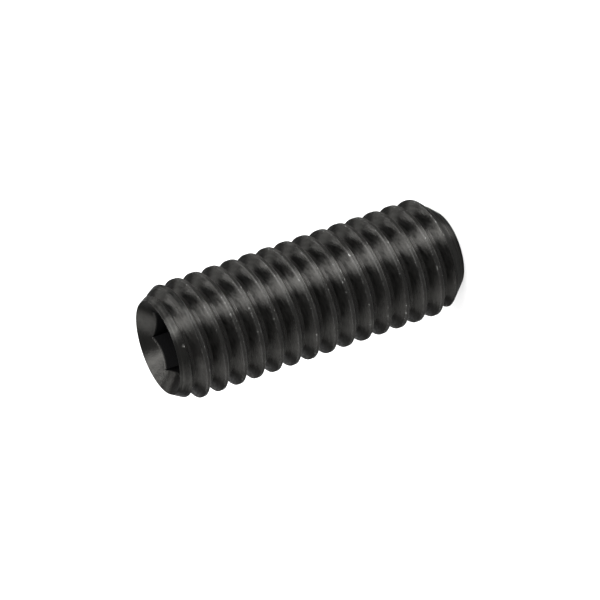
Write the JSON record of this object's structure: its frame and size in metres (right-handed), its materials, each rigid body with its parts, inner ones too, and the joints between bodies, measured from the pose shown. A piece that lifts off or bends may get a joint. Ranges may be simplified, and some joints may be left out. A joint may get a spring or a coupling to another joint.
{
  "type": "grub set screw",
  "caption": "Headless set screw with a right-hand metric thread over its whole length, a countersunk hexagon socket at one end and a chamfered flat point at the other.",
  "frame": {"origin": "centre of the flat point's face, at the bottom of the screw", "axes": "+Z along the screw's axis, from the flat point up to the socket end; +X towards one corner of the hexagon socket"},
  "size_m": [0.006, 0.006, 0.016],
  "materials": {
    "set_screw": "black oxide, lightly oiled"
  },
  "bodies": {
    "root": {"set_screw": "set_screw"}
  },
  "joints": []
}
